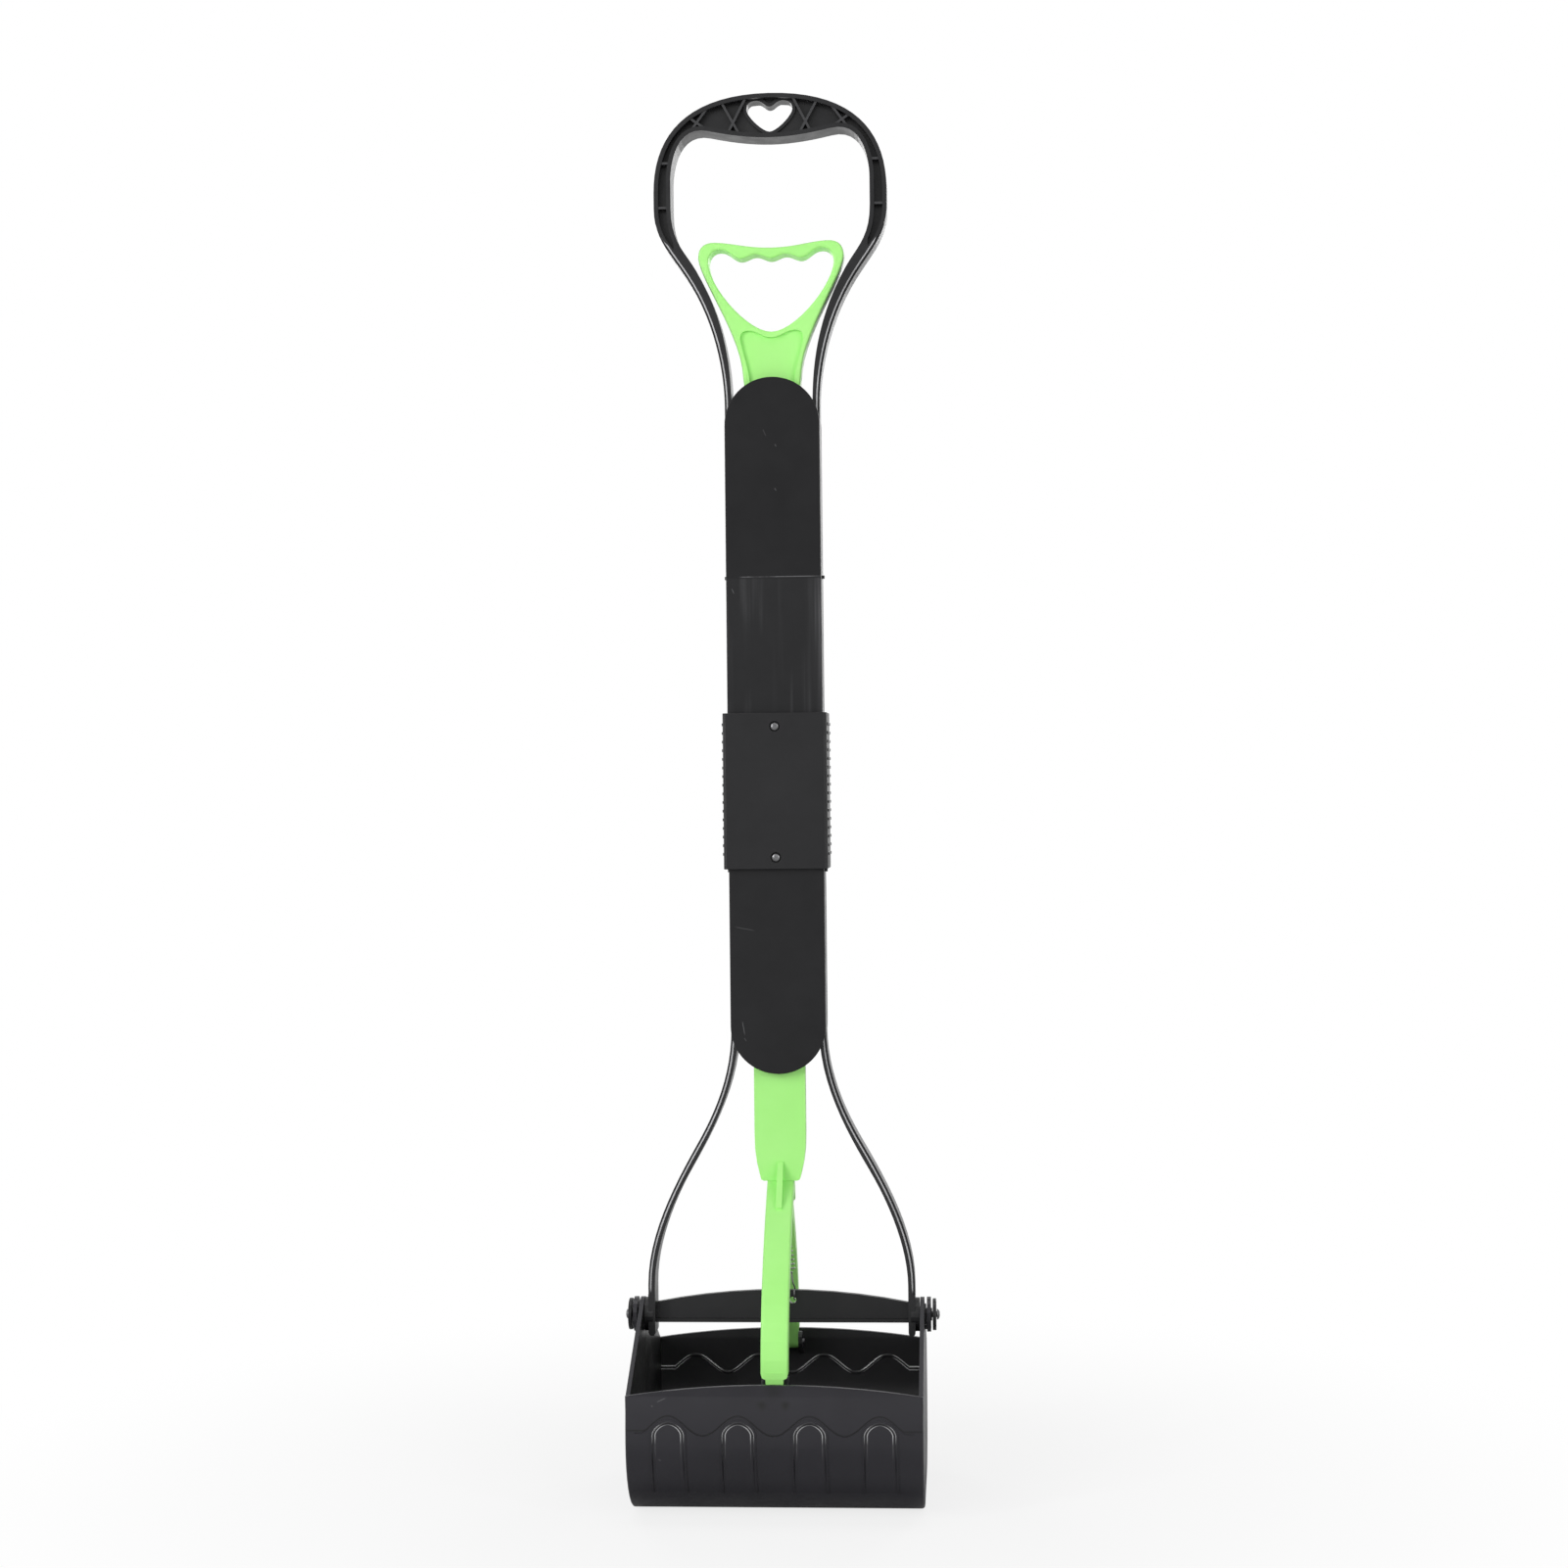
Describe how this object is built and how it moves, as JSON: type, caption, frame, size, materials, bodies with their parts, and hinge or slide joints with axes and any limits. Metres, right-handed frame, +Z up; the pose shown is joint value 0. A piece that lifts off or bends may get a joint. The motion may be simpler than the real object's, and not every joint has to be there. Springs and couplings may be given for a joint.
{
  "type": "pooper scooper",
  "caption": "Foldable pooper scooper with a D-shaped grip, finger trigger, pull rod, sliding lock sleeve and spring-closed jaws that open as the trigger is pulled.",
  "frame": {"origin": "middle of the footprint, on the ground the closed jaws stand on", "axes": "+Z up along the handle, -Y to the front of the object, +X to the right as the front is seen"},
  "size_m": [0.1602, 0.1454, 0.7095],
  "materials": {
    "black_plastic": "satin",
    "green_plastic": "satin",
    "steel": "plain"
  },
  "bodies": {
    "lower_body": {"lower_frame": "black_plastic", "lower_front_cover": "black_plastic", "lower_rear_cover": "black_plastic", "lower_cover_screw_left": "steel", "lower_cover_screw_right": "steel", "fold_pin_left": "steel", "fold_pin_right": "steel", "pivot_washer_left": "black_plastic", "pivot_washer_right": "black_plastic", "pivot_screw_left": "steel", "pivot_screw_right": "steel", "return_spring": "steel"},
    "upper_body": {"handle_frame": "black_plastic", "upper_front_cover": "black_plastic", "upper_rear_cover": "black_plastic", "upper_cover_screw_left": "steel", "upper_cover_screw_right": "steel"},
    "sleeve_body": {"sleeve_front_shell": "black_plastic", "sleeve_rear_shell": "black_plastic", "sleeve_detent_leaf": "steel", "sleeve_screw_upper": "steel", "sleeve_screw_lower": "steel"},
    "trigger_body": {"trigger": "green_plastic"},
    "rod_body": {"lower_pull_rod": "green_plastic", "rod_hinge_pin": "steel", "front_link_pin": "steel", "rear_link_pin": "steel"},
    "front_jaw_body": {"front_jaw": "black_plastic"},
    "rear_jaw_body": {"rear_jaw": "black_plastic"}
  },
  "joints": [
    {"name": "fold", "type": "hinge", "parent": "lower_body", "child": "upper_body", "pos_m": [0, 0.008, 0.3218], "axis": [-1, 0, 0], "range_deg": [0, 160]},
    {"name": "sleeve_slide", "type": "slide", "parent": "upper_body", "child": "sleeve_body", "axis": [0, 0, 1], "range_m": [0, 0.068]},
    {"name": "trigger_slide", "type": "slide", "parent": "upper_body", "child": "trigger_body", "axis": [0, 0, 1], "range_m": [0, 0.035]},
    {"name": "rod_slide", "type": "slide", "parent": "lower_body", "child": "rod_body", "axis": [0, 0, 1], "range_m": [0, 0.035], "stiffness_N_per_m": 400, "springref_m": -0.02, "deforming": ["return_spring"]},
    {"name": "front_jaw_hinge", "type": "hinge", "parent": "lower_body", "child": "front_jaw_body", "pos_m": [0, 0, 0.0892], "axis": [-1, 0, 0], "range_deg": [0, 31.5]},
    {"name": "rear_jaw_hinge", "type": "hinge", "parent": "lower_body", "child": "rear_jaw_body", "pos_m": [0, 0, 0.0892], "axis": [1, 0, 0], "range_deg": [0, 31.5]}
  ],
  "couplings": [
    {"joint": "rod_slide", "follows": "trigger_slide", "ratio": 1},
    {"joint": "front_jaw_hinge", "follows": "trigger_slide", "rad_per_m": 15.7},
    {"joint": "rear_jaw_hinge", "follows": "trigger_slide", "rad_per_m": 15.7},
    {"joint": "sleeve_slide", "follows": "fold", "m_per_rad": 0.02435}
  ]
}
